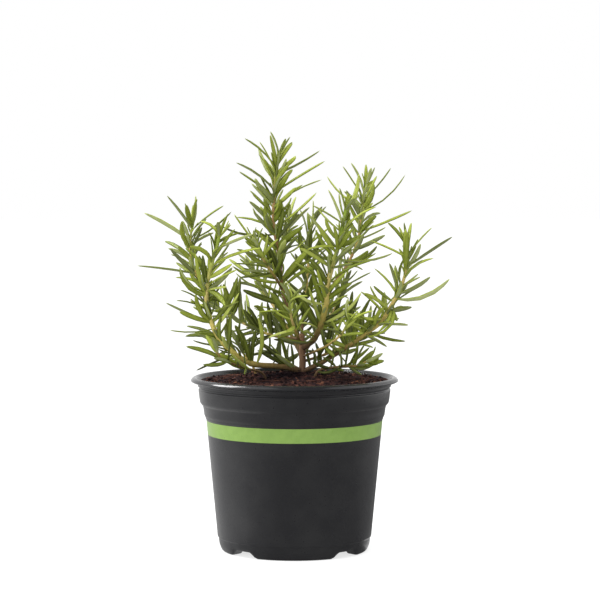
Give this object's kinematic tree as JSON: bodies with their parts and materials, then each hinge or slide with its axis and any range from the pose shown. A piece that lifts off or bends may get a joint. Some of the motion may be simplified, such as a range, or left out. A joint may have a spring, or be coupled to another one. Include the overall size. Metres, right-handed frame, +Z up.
{
  "type": "potted rosemary plant",
  "caption": "Rosemary bush of needle-leaved shoots on a woody trunk, growing in potting mix in a round tapered nursery pot with a rolled lip and feet.",
  "frame": {"origin": "on the resting surface, under the middle of the pot", "axes": "+Z up; -Y towards the viewer of the picture and +X to that viewer's right"},
  "size_m": [0.181, 0.132, 0.242],
  "materials": {
    "pot_plastic": "satin",
    "potting_mix": "matte",
    "bark": "matte",
    "rosemary_leaf": "satin"
  },
  "bodies": {
    "root": {"pot": "pot_plastic", "soil": "potting_mix", "trunk": "bark", "shoot_leader": "rosemary_leaf", "shoot_leader_front": "rosemary_leaf", "shoot_leader_back": "rosemary_leaf", "shoot_left_main": "rosemary_leaf", "shoot_left_outer": "rosemary_leaf", "shoot_left_inner": "rosemary_leaf", "shoot_back_high": "rosemary_leaf", "shoot_right_front": "rosemary_leaf", "shoot_right_tall": "rosemary_leaf", "shoot_right_main": "rosemary_leaf", "shoot_low_right": "rosemary_leaf", "shoot_low_front_left": "rosemary_leaf", "shoot_low_back_left": "rosemary_leaf", "shoot_low_left": "rosemary_leaf", "shoot_back_left": "rosemary_leaf", "shoot_back_right": "rosemary_leaf", "shoot_back_low": "rosemary_leaf", "shoot_low_back_right": "rosemary_leaf", "shoot_front_low": "rosemary_leaf", "shoot_front_right": "rosemary_leaf"}
  },
  "joints": []
}
